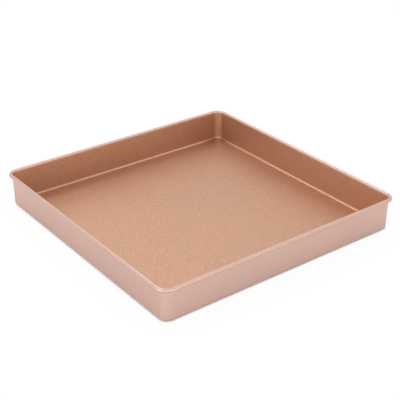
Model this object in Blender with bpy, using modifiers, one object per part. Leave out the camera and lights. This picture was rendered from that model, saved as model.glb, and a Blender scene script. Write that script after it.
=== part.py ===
"""A square baking pan: one sheet of coated steel drawn into a straight-sided tray, with its edge
rolled outwards round a stiffening wire. It stands on z = 0 with its centre over the origin."""

from math import acos, cos, pi, radians, sin, tan

import bmesh
import bpy

# Driving dimensions, in metres, and one angle
RIM_SIDE = 0.290  # across the rolled rim, outside to outside
PAN_HEIGHT = 0.036  # from the underside of the floor to the top of the rim
SHEET = 0.0006  # thickness of the steel sheet
FLOOR_CORNER = 0.0058  # radius of the flat floor's corners, seen from above
FLOOR_FILLET = 0.0028  # outside radius where the floor turns up into a wall
WALL_DRAFT = radians(0.2)  # lean of the walls, outwards towards the rim
WIRE_DIAMETER = 0.0022  # the wire inside the rolled rim
WIRE_CLEARANCE = 0.0003  # between the wire and the sheet that is rolled round it
CURL_MOUTH = 0.0005  # between the rolled edge of the sheet and the wall

# How finely the round parts are divided
CORNER_STEPS = 12
FILLET_STEPS = 7
CURL_STEPS = 22
WIRE_SMOOTHNESS = 4

# The sheet is modelled by its middle surface. In its section, "out" is the distance from the
# upright axis of a corner's curve, and "up" is the height over the surface that the pan stands on.
HALF_SHEET = SHEET / 2
FILLET_MIDDLE = FLOOR_FILLET - HALF_SHEET
CURL_MIDDLE = WIRE_DIAMETER / 2 + WIRE_CLEARANCE + HALF_SHEET
CURL_OUTSIDE = CURL_MIDDLE + HALF_SHEET

FILLET_CENTRE_UP = HALF_SHEET + FILLET_MIDDLE
WALL_FOOT_OUT = FLOOR_CORNER + FILLET_MIDDLE * cos(WALL_DRAFT)
WALL_FOOT_UP = FILLET_CENTRE_UP - FILLET_MIDDLE * sin(WALL_DRAFT)
CURL_CENTRE_UP = PAN_HEIGHT - CURL_OUTSIDE
WALL_HEAD_UP = CURL_CENTRE_UP + CURL_MIDDLE * sin(WALL_DRAFT)
WALL_HEAD_OUT = WALL_FOOT_OUT + (WALL_HEAD_UP - WALL_FOOT_UP) * tan(WALL_DRAFT)
CURL_CENTRE_OUT = WALL_HEAD_OUT + CURL_MIDDLE * cos(WALL_DRAFT)

# From the pan's centre to the axis of a corner's curve, along X and along Y
CORNER_AXIS = RIM_SIDE / 2 - CURL_CENTRE_OUT - CURL_OUTSIDE

# Points closer than this are one point: far under the sheet's own thickness
TOUCHING = SHEET / 60


def clear_scene():
    for obj in list(bpy.data.objects):
        bpy.data.objects.remove(obj, do_unlink=True)


def parts_collection():
    collection = bpy.data.collections.new("square_baking_pan")
    bpy.context.scene.collection.children.link(collection)
    return collection


def metal(name, colour, roughness, metallic):
    material = bpy.data.materials.new(name)
    material.use_nodes = True
    shader = material.node_tree.nodes["Principled BSDF"]
    shader.inputs["Base Color"].default_value = (*colour, 1)
    shader.inputs["Roughness"].default_value = roughness
    shader.inputs["Metallic"].default_value = metallic
    return material


def arc(centre, radius, start, end, steps):
    """Points of an arc in the section, from one angle to another, both ends among them."""
    angles = [start + (end - start) * step / steps for step in range(steps + 1)]
    return [(centre[0] + radius * cos(a), centre[1] + radius * sin(a)) for a in angles]


def sheet_section():
    """The sheet's middle line: the corner's axis, the flat floor, the fillet, the wall and the curl."""
    floor = [(0, HALF_SHEET)]
    fillet = arc((FLOOR_CORNER, FILLET_CENTRE_UP), FILLET_MIDDLE, -pi / 2, -WALL_DRAFT, FILLET_STEPS)
    # The curl leaves the wall at its head, goes over and under the wire, and stops short of the wall.
    past_outside = acos((CURL_MOUTH + HALF_SHEET - CURL_MIDDLE) / CURL_OUTSIDE)
    curl_centre = (CURL_CENTRE_OUT, CURL_CENTRE_UP)
    curl = arc(curl_centre, CURL_MIDDLE, pi - WALL_DRAFT, -WALL_DRAFT - past_outside, CURL_STEPS)
    return floor + fillet + curl


def edges_on_plane(bm, axis, distance):
    """Edges with both ends on the upright plane at that distance along X (0) or Y (1)."""
    return [
        edge for edge in bm.edges
        if all(abs(vert.co[axis] - distance) < TOUCHING for vert in edge.verts)
    ]


def run_to_middle(bm, axis):
    """Extrudes the section that ends the corner straight along X (0) or Y (1) to the pan's middle."""
    made = bmesh.ops.extrude_edge_only(bm, edges=edges_on_plane(bm, axis, CORNER_AXIS))["geom"]
    shift = [0, 0, 0]
    shift[axis] = -CORNER_AXIS
    bmesh.ops.translate(bm, verts=[v for v in made if isinstance(v, bmesh.types.BMVert)], vec=shift)


def pan_quarter():
    """The middle surface of a quarter of the pan, open where it meets the other quarters."""
    bm = bmesh.new()
    points = [bm.verts.new((out, 0, up)) for out, up in sheet_section()]
    lines = [bm.edges.new(pair) for pair in zip(points, points[1:])]
    bmesh.ops.spin(bm, geom=points + lines, axis=(0, 0, 1), angle=pi / 2, steps=CORNER_STEPS)
    bmesh.ops.remove_doubles(bm, verts=bm.verts, dist=TOUCHING)
    bmesh.ops.translate(bm, verts=bm.verts, vec=(CORNER_AXIS, CORNER_AXIS, 0))
    run_to_middle(bm, axis=1)
    run_to_middle(bm, axis=0)
    bmesh.ops.recalc_face_normals(bm, faces=bm.faces)
    return bm


def pan_shell(collection):
    mesh = bpy.data.meshes.new("pan_shell")
    quarter = pan_quarter()
    quarter.to_mesh(mesh)
    quarter.free()
    shell = bpy.data.objects.new("pan_shell", mesh)
    collection.objects.link(shell)

    mirror = shell.modifiers.new("four_quarters", "MIRROR")
    mirror.use_axis = (True, True, False)
    mirror.merge_threshold = TOUCHING

    thickness = shell.modifiers.new("sheet", "SOLIDIFY")
    thickness.thickness = SHEET
    thickness.offset = 0
    thickness.use_even_offset = True

    mesh.shade_smooth()
    mesh.set_sharp_from_angle(angle=radians(40))
    mesh.materials.append(metal("non_stick_coating", (0.55, 0.34, 0.25), roughness=0.38, metallic=0.75))
    return shell


def wire_path():
    """The wire's centre line seen from above, along the straight sides and round the corners."""
    path = []
    for quarter in range(4):
        turn = quarter * pi / 2
        axis_x = CORNER_AXIS * (1 if quarter in (0, 3) else -1)
        axis_y = CORNER_AXIS * (1 if quarter in (0, 1) else -1)
        path += arc((axis_x, axis_y), CURL_CENTRE_OUT, turn, turn + pi / 2, CORNER_STEPS)
    return path


def rim_wire(collection):
    curve = bpy.data.curves.new("rim_wire", "CURVE")
    curve.dimensions = "3D"
    curve.twist_mode = "Z_UP"
    curve.bevel_depth = WIRE_DIAMETER / 2
    curve.bevel_resolution = WIRE_SMOOTHNESS
    path = wire_path()
    spline = curve.splines.new("POLY")
    spline.points.add(len(path) - 1)
    for point, (x, y) in zip(spline.points, path):
        point.co = (x, y, 0, 1)
    spline.use_cyclic_u = True
    curve.materials.append(metal("steel_wire", (0.55, 0.55, 0.54), roughness=0.35, metallic=1))

    wire = bpy.data.objects.new("rim_wire", curve)
    wire.location.z = CURL_CENTRE_UP
    collection.objects.link(wire)
    return wire


def main():
    clear_scene()
    collection = parts_collection()
    pan_shell(collection)
    rim_wire(collection)


main()
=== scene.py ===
"""The looks of a square baking pan: a drawn sheet-steel tray with a rolled rim, in a satin rose-gold
coat. It stands on z = 0 with its centre over the origin."""

from math import acos, cos, hypot, pi, radians, sin, tan

import bmesh
import bpy
from mathutils import Matrix, Vector


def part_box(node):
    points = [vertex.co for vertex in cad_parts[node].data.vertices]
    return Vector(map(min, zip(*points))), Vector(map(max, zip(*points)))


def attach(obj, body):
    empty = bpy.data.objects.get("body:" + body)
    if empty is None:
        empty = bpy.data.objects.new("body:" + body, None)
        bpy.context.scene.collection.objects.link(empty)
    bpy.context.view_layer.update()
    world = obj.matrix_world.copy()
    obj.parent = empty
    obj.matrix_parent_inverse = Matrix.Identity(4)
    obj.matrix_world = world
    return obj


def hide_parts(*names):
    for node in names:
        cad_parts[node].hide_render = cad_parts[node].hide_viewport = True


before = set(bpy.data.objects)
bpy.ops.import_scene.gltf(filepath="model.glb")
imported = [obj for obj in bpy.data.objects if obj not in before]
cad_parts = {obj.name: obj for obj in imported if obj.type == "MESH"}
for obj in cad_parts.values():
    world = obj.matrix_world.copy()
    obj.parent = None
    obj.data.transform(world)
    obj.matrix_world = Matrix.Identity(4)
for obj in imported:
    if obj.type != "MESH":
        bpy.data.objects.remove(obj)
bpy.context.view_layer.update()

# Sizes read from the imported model, in metres
shell_low, shell_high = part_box("pan_shell")
wire_low, wire_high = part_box("rim_wire")
RIM_SIDE = shell_high.x - shell_low.x
PAN_HEIGHT = shell_high.z
WIRE_UP = (wire_high.z + wire_low.z) / 2

# Sizes of the drawn sheet that those boxes don't give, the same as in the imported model
SHEET = 0.0006  # thickness of the steel
FLOOR_CORNER = 0.0058  # radius of the flat floor's corners, seen from above
FLOOR_FILLET = 0.0028  # outside radius where the floor turns up into a wall
WALL_DRAFT = radians(0.2)  # lean of the walls, outwards towards the rim
CURL_MOUTH = 0.0005  # between the rolled edge of the sheet and the wall

# The sheet's middle surface. "Out" is the distance from the upright axis of a corner's curve.
HALF_SHEET = SHEET / 2
CURL_OUTSIDE = PAN_HEIGHT - WIRE_UP
CURL_MIDDLE = CURL_OUTSIDE - HALF_SHEET
FILLET_MIDDLE = FLOOR_FILLET - HALF_SHEET
FILLET_UP = HALF_SHEET + FILLET_MIDDLE
WALL_FOOT_OUT = FLOOR_CORNER + FILLET_MIDDLE * cos(WALL_DRAFT)
WALL_FOOT_UP = FILLET_UP - FILLET_MIDDLE * sin(WALL_DRAFT)
WALL_HEAD_UP = WIRE_UP + CURL_MIDDLE * sin(WALL_DRAFT)
WALL_HEAD_OUT = WALL_FOOT_OUT + (WALL_HEAD_UP - WALL_FOOT_UP) * tan(WALL_DRAFT)
WIRE_OUT = WALL_HEAD_OUT + CURL_MIDDLE * cos(WALL_DRAFT)

# From the pan's centre to the axis of a corner's curve, along X and along Y
CORNER_AXIS = RIM_SIDE / 2 - WIRE_OUT - CURL_OUTSIDE

# Points closer than this are one point
TOUCHING = SHEET / 600

# How finely the sheet is divided
CORNER_STEPS = 28
FILLET_STEPS = 14
CURL_STEPS = 44
WALL_BANDS = 6
SIDE_STEPS = 12

# The coat, in linear colours. Its grain is a share of its tone.
# The inside's deeper, more orange tone is painted reflection: the coat is one, and this tone stands in
# for the warm light the pan's inside throws on itself.
INSIDE_TONE_WITH_PAINTED_REFLECTION = Vector((0.557, 0.326, 0.219))
OUTSIDE_COAT = Vector((0.574, 0.389, 0.330))
INSIDE_GRAIN = 0.14
OUTSIDE_GRAIN = 0.09
COAT_METAL = 0.88
SMOOTHEST_COAT = 0.43
ROUGHEST_COAT = 0.47
FLAKES_TO_THE_METRE = 650
FLAKE_RELIEF = 0.00004
CLOUDS_TO_THE_METRE = 9
CLOUD_SHARE = 0.3
CLOUD_LIGHTNESS = 1.04
PAINTED_RIM_HIGHLIGHT_REACH = 0.002  # how far down the inside the rim's painted highlight fades out

# The wire's bare steel, in linear colours
SCRATCHES_TO_THE_METRE = 2500
SCRATCH_RELIEF = 0.00002
DULL_STEEL = (0.44, 0.44, 0.43)
BRIGHT_STEEL = (0.62, 0.61, 0.60)

# The studio. Its floor glows as a share of plain white, and is lit as a white surface for the rest.
STUDIO_REACH = 4  # from the pan's centre to the floor's edges, in metres
FLOOR_TONE = (0.9, 0.9, 0.9, 1)
PLAIN_WHITE = (1, 1, 1, 1)
GLOW_TO_CAMERA = 0.92
GLOW_IN_METAL = 0.2
CREVICE_REACH = 0.0018  # how far the dark line at the pan's foot reaches
CREVICE_CLOSED = 0.6  # how open the floor is, out of 1, where the line is darkest
LAMP_DISTANCE = 1.3  # from the pan's centre, in metres

# The photograph's camera, from a fit of the pan's outline. Lengths are shares of the rim's side.
CAMERA_AZIMUTH = -37.39
CAMERA_ELEVATION = 28.03
CAMERA_ROLL = 0.22
CAMERA_DISTANCE = 3.3841
AIM_UP = 0.055
AIM_RIGHT_IN_VIEW = 0.0135
AIM_UP_IN_VIEW = 0.0033
FOCAL_LENGTH_PIXELS = 938.24
IMAGE_PIXELS = 400
SENSOR_WIDTH = 36  # in millimetres, as a lens's length is


def newest_vert(result):
    """The vertex that a spin left at its far end."""
    return next(element for element in result["geom_last"] if isinstance(element, bmesh.types.BMVert))


def draw_to(bm, vert, out, up):
    """Draws the sheet's section on to a new place, and returns the vertex there."""
    new = bmesh.ops.extrude_vert_indiv(bm, verts=[vert])["verts"][0]
    new.co = (out, 0, up)
    return new


def bend_round(bm, vert, out, up, angle, steps):
    """Bends the section's end round a point. A positive angle turns from outwards to upwards."""
    return newest_vert(bmesh.ops.spin(
        bm, geom=[vert], cent=(out, 0, up), axis=(0, -1, 0), angle=angle, steps=steps
    ))


def sheet_section(bm):
    """The drawn sheet's section at a corner: flat floor, fillet, wall, and the curl over the wire."""
    tip = bm.verts.new((0, 0, HALF_SHEET))
    tip = draw_to(bm, tip, FLOOR_CORNER, HALF_SHEET)
    tip = bend_round(bm, tip, FLOOR_CORNER, FILLET_UP, pi / 2 - WALL_DRAFT, FILLET_STEPS)
    for band in range(1, WALL_BANDS + 1):
        share = band / WALL_BANDS
        out = WALL_FOOT_OUT + (WALL_HEAD_OUT - WALL_FOOT_OUT) * share
        up = WALL_FOOT_UP + (WALL_HEAD_UP - WALL_FOOT_UP) * share
        tip = draw_to(bm, tip, out, up)
    past_outside = acos((CURL_MOUTH + HALF_SHEET - CURL_MIDDLE) / CURL_OUTSIDE)
    bend_round(bm, tip, WIRE_OUT, WIRE_UP, -(pi + past_outside), CURL_STEPS)


def edges_on_plane(bm, axis, distance):
    """Edges with both ends on the upright plane at that distance along X (0) or Y (1)."""
    return [
        edge for edge in bm.edges
        if all(abs(vert.co[axis] - distance) < TOUCHING for vert in edge.verts)
    ]


def run_to_middle(bm, axis):
    """Extrudes the section at a corner's end straight along X (0) or Y (1) to the pan's middle."""
    step = Vector((0, 0, 0))
    step[axis] = -CORNER_AXIS / SIDE_STEPS
    edges = edges_on_plane(bm, axis, CORNER_AXIS)
    for _ in range(SIDE_STEPS):
        made = bmesh.ops.extrude_edge_only(bm, edges=edges)["geom"]
        bmesh.ops.translate(bm, verts=[v for v in made if isinstance(v, bmesh.types.BMVert)], vec=step)
        edges = [e for e in made if isinstance(e, bmesh.types.BMEdge)]


def mirror_to_four_quarters(bm):
    for axis in ("X", "Y"):
        bmesh.ops.mirror(bm, geom=bm.verts[:] + bm.edges[:] + bm.faces[:], axis=axis, merge_dist=TOUCHING)
    bmesh.ops.remove_doubles(bm, verts=bm.verts, dist=TOUCHING)
    bmesh.ops.recalc_face_normals(bm, faces=bm.faces)


def paint_curl_highlight_in_outside_coat(bm):
    """The curl over the wire takes the outside coat on both faces of the sheet: a painted highlight, for
    the curl's upper face is the sheet's inside.
    """
    for face in bm.faces:
        centre = face.calc_center_median()
        out = hypot(max(abs(centre.x) - CORNER_AXIS, 0), max(abs(centre.y) - CORNER_AXIS, 0))
        if centre.z > WALL_HEAD_UP or out > WALL_HEAD_OUT + HALF_SHEET:
            face.material_index = 1


def middle_surface():
    """The drawn sheet's middle surface, all four quarters of it."""
    bm = bmesh.new()
    sheet_section(bm)
    bmesh.ops.spin(bm, geom=bm.verts[:] + bm.edges[:], axis=(0, 0, 1), angle=pi / 2, steps=CORNER_STEPS)
    bmesh.ops.remove_doubles(bm, verts=bm.verts, dist=TOUCHING)
    bmesh.ops.translate(bm, verts=bm.verts, vec=(CORNER_AXIS, CORNER_AXIS, 0))
    run_to_middle(bm, axis=1)
    run_to_middle(bm, axis=0)
    mirror_to_four_quarters(bm)
    paint_curl_highlight_in_outside_coat(bm)
    return bm


def object_from(bm, name, *materials):
    mesh = bpy.data.meshes.new(name)
    bm.to_mesh(mesh)
    bm.free()
    for material in materials:
        mesh.materials.append(material)
    made = bpy.data.objects.new(name, mesh)
    bpy.context.scene.collection.objects.link(made)
    return made


def drawn_sheet(inside, outside):
    sheet = object_from(middle_surface(), "drawn_sheet", inside, outside)
    sheet.data.shade_smooth()
    wall = sheet.modifiers.new("sheet_thickness", "SOLIDIFY")
    wall.thickness = SHEET
    wall.offset = 0
    wall.use_even_offset = True
    wall.material_offset = 1
    wall.material_offset_rim = 1
    flats = sheet.modifiers.new("flats_stay_flat", "WEIGHTED_NORMAL")
    flats.mode = "FACE_AREA"
    flats.weight = 80
    return sheet


class Nodes:
    """A material's node tree, with a Principled BSDF and object coordinates to start from."""

    def __init__(self, name):
        self.material = bpy.data.materials.new(name)
        self.material.use_nodes = True
        self.tree = self.material.node_tree
        self.shader = self.tree.nodes["Principled BSDF"]
        self.place = self.add("ShaderNodeTexCoord").outputs["Object"]

    def add(self, kind, **settings):
        node = self.tree.nodes.new(kind)
        for name, value in settings.items():
            setattr(node, name, value)
        return node

    def link(self, source, target):
        self.tree.links.new(source, target)

    def noise(self, scale, detail=2.0, place=None):
        node = self.add("ShaderNodeTexNoise")
        node.inputs["Scale"].default_value = scale
        node.inputs["Detail"].default_value = detail
        self.link(place or self.place, node.inputs["Vector"])
        return node.outputs["Fac"]

    def remap(self, value, low, high, to_low, to_high):
        node = self.add("ShaderNodeMapRange")
        limits = {"From Min": low, "From Max": high, "To Min": to_low, "To Max": to_high}
        for name, number in limits.items():
            node.inputs[name].default_value = number
        self.link(value, node.inputs["Value"])
        return node.outputs["Result"]

    def combine(self, operation, first, second):
        """A sum or a product of two numbers, each written out or another node's output."""
        node = self.add("ShaderNodeMath", operation=operation)
        for target, value in zip(node.inputs, (first, second)):
            if isinstance(value, bpy.types.NodeSocket):
                self.link(value, target)
            else:
                target.default_value = value
        return node.outputs[0]

    def blend(self, factor, first, second):
        """Mixes two colours, each written out or another node's output."""
        node = self.add("ShaderNodeMix", data_type="RGBA")
        self.link(factor, node.inputs["Factor"])
        for socket, colour in (("A", first), ("B", second)):
            target = next(s for s in node.inputs if s.name == socket and s.type == "RGBA")
            if isinstance(colour, bpy.types.NodeSocket):
                self.link(colour, target)
            else:
                target.default_value = (*colour, 1)
        return next(s for s in node.outputs if s.type == "RGBA")

    def bump(self, height, distance, strength=1.0):
        node = self.add("ShaderNodeBump")
        node.inputs["Distance"].default_value = distance
        node.inputs["Strength"].default_value = strength
        self.link(height, node.inputs["Height"])
        self.link(node.outputs["Normal"], self.shader.inputs["Normal"])


def coating(name, tone, grain, painted_rim_highlight_tone=None):
    """Satin metallic non-stick coat: a fine flake grain under broad, faint clouds."""
    nodes = Nodes(name)
    flakes = nodes.noise(scale=FLAKES_TO_THE_METRE, detail=3)
    clouds = nodes.noise(scale=CLOUDS_TO_THE_METRE, detail=2)
    grainy = nodes.blend(nodes.remap(flakes, 0.3, 0.7, 0, 1), tone * (1 - grain), tone * (1 + grain))
    colour = nodes.blend(nodes.remap(clouds, 0.35, 0.65, 0, CLOUD_SHARE), grainy, tone * CLOUD_LIGHTNESS)
    # Near the rim the inside fades into the outside tone: a painted highlight on the top of the inside
    # wall.
    if painted_rim_highlight_tone is not None:
        height = nodes.add("ShaderNodeSeparateXYZ")
        nodes.link(nodes.place, height.inputs[0])
        fade_from = WALL_HEAD_UP - PAINTED_RIM_HIGHLIGHT_REACH
        near_rim = nodes.remap(height.outputs["Z"], fade_from, WALL_HEAD_UP, 0, 1)
        colour = nodes.blend(near_rim, colour, painted_rim_highlight_tone)
    nodes.link(colour, nodes.shader.inputs["Base Color"])
    roughness = nodes.remap(clouds, 0.3, 0.7, SMOOTHEST_COAT, ROUGHEST_COAT)
    nodes.link(roughness, nodes.shader.inputs["Roughness"])
    nodes.bump(flakes, distance=FLAKE_RELIEF, strength=0.5)
    nodes.shader.inputs["Metallic"].default_value = COAT_METAL
    return nodes.material


def drawn_wire_steel():
    """Bright drawn wire, with fine scratches."""
    nodes = Nodes("drawn_wire_steel")
    scratches = nodes.noise(scale=SCRATCHES_TO_THE_METRE, detail=4)
    nodes.link(nodes.blend(scratches, DULL_STEEL, BRIGHT_STEEL), nodes.shader.inputs["Base Color"])
    nodes.link(nodes.remap(scratches, 0.3, 0.7, 0.22, 0.42), nodes.shader.inputs["Roughness"])
    nodes.bump(scratches, distance=SCRATCH_RELIEF, strength=0.4)
    nodes.shader.inputs["Metallic"].default_value = 1
    return nodes.material


def floor_white():
    """White, with a faint shadow to the camera and a dark line where the pan's foot all but closes it."""
    nodes = Nodes("studio_white")
    nodes.shader.inputs["Base Color"].default_value = FLOOR_TONE
    nodes.shader.inputs["Roughness"].default_value = 1
    nodes.shader.inputs["Specular IOR Level"].default_value = 0
    white = nodes.add("ShaderNodeEmission")
    white.inputs["Color"].default_value = PLAIN_WHITE
    path = nodes.add("ShaderNodeLightPath")
    to_camera = nodes.combine("MULTIPLY", path.outputs["Is Camera Ray"], GLOW_TO_CAMERA)
    reflected = nodes.combine("ADD", path.outputs["Is Glossy Ray"], path.outputs["Is Transmission Ray"])
    in_metal = nodes.combine("MULTIPLY", reflected, GLOW_IN_METAL)
    crevice = nodes.add("ShaderNodeAmbientOcclusion", samples=8)
    crevice.inputs["Distance"].default_value = CREVICE_REACH
    open_floor = nodes.remap(crevice.outputs["AO"], CREVICE_CLOSED, 1, 0, 1)
    share = nodes.combine("MULTIPLY", nodes.combine("ADD", to_camera, in_metal), open_floor)
    mix = nodes.add("ShaderNodeMixShader")
    nodes.link(share, mix.inputs[0])
    nodes.link(nodes.shader.outputs[0], mix.inputs[1])
    nodes.link(white.outputs[0], mix.inputs[2])
    nodes.link(mix.outputs[0], nodes.tree.nodes["Material Output"].inputs["Surface"])
    return nodes.material


def studio_floor():
    bm = bmesh.new()
    bmesh.ops.create_grid(bm, x_segments=1, y_segments=1, size=STUDIO_REACH)
    floor = object_from(bm, "studio_floor", floor_white())


def studio_world():
    """Plain white all round, for the background and for the light on everything."""
    world = bpy.data.worlds.new("studio")
    bpy.context.scene.world = world
    world.use_nodes = True
    world.node_tree.nodes["Background"].inputs["Color"].default_value = PLAIN_WHITE


def soft_box(name, azimuth, elevation, width, height, power):
    """An area lamp that looks at the pan. Azimuth 0 is in front, on the -Y side. Sizes are in metres,
    power in watts."""
    data = bpy.data.lights.new(name, "AREA")
    data.shape = "RECTANGLE"
    data.size = width
    data.size_y = height
    data.energy = power
    lamp = bpy.data.objects.new(name, data)
    turn, rise = radians(azimuth), radians(elevation)
    towards = Vector((sin(turn) * cos(rise), -cos(turn) * cos(rise), sin(rise)))
    lamp.location = LAMP_DISTANCE * towards
    lamp.rotation_euler = towards.to_track_quat("Z", "Y").to_euler()
    bpy.context.scene.collection.objects.link(lamp)


def photograph_camera():
    """The camera looks a little past the pan's middle, as the photograph does."""
    turn, rise, roll = radians(CAMERA_AZIMUTH), radians(CAMERA_ELEVATION), radians(CAMERA_ROLL)
    back = Vector((sin(turn) * cos(rise), -cos(turn) * cos(rise), sin(rise)))
    right = Vector((cos(turn), sin(turn), 0))
    up = back.cross(right)
    aim = RIM_SIDE * (Vector((0, 0, AIM_UP)) + AIM_RIGHT_IN_VIEW * right + AIM_UP_IN_VIEW * up)
    data = bpy.data.cameras.new("photograph_camera")
    data.sensor_width = SENSOR_WIDTH
    data.lens = data.sensor_width * FOCAL_LENGTH_PIXELS / IMAGE_PIXELS
    data.clip_start = 0.01
    camera = bpy.data.objects.new("photograph_camera", data)
    rolled_right = cos(roll) * right + sin(roll) * up
    rolled_up = cos(roll) * up - sin(roll) * right
    turned = Matrix((rolled_right, rolled_up, back)).transposed().to_4x4()
    camera.matrix_world = Matrix.Translation(aim + CAMERA_DISTANCE * RIM_SIDE * back) @ turned
    bpy.context.scene.collection.objects.link(camera)
    bpy.context.scene.camera = camera


# The curl and the top of the inside wall take the outside tone as a painted highlight.
sheet = drawn_sheet(
    coating("inside_coat_with_painted_reflection", INSIDE_TONE_WITH_PAINTED_REFLECTION, INSIDE_GRAIN, painted_rim_highlight_tone=OUTSIDE_COAT),
    coating("outside_coat", OUTSIDE_COAT, OUTSIDE_GRAIN),
)
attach(sheet, "root")
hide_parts("pan_shell")

wire_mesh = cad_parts["rim_wire"].data
wire_mesh.materials.clear()
wire_mesh.materials.append(drawn_wire_steel())

studio_floor()
studio_world()
soft_box("low_left_box", azimuth=-75, elevation=4, width=0.6, height=0.12, power=2.6)
soft_box("low_right_box", azimuth=5, elevation=4, width=0.6, height=0.12, power=3.2)
soft_box("front_box", azimuth=-37, elevation=8, width=0.4, height=0.25, power=1.4)
soft_box("left_box", azimuth=-97, elevation=20, width=0.6, height=0.4, power=2.6)
soft_box("right_box", azimuth=90, elevation=57, width=0.35, height=0.35, power=1.4)
soft_box("back_box", azimuth=180, elevation=60, width=0.35, height=0.35, power=3.0)
photograph_camera()
bpy.context.scene.view_settings.view_transform = "Standard"
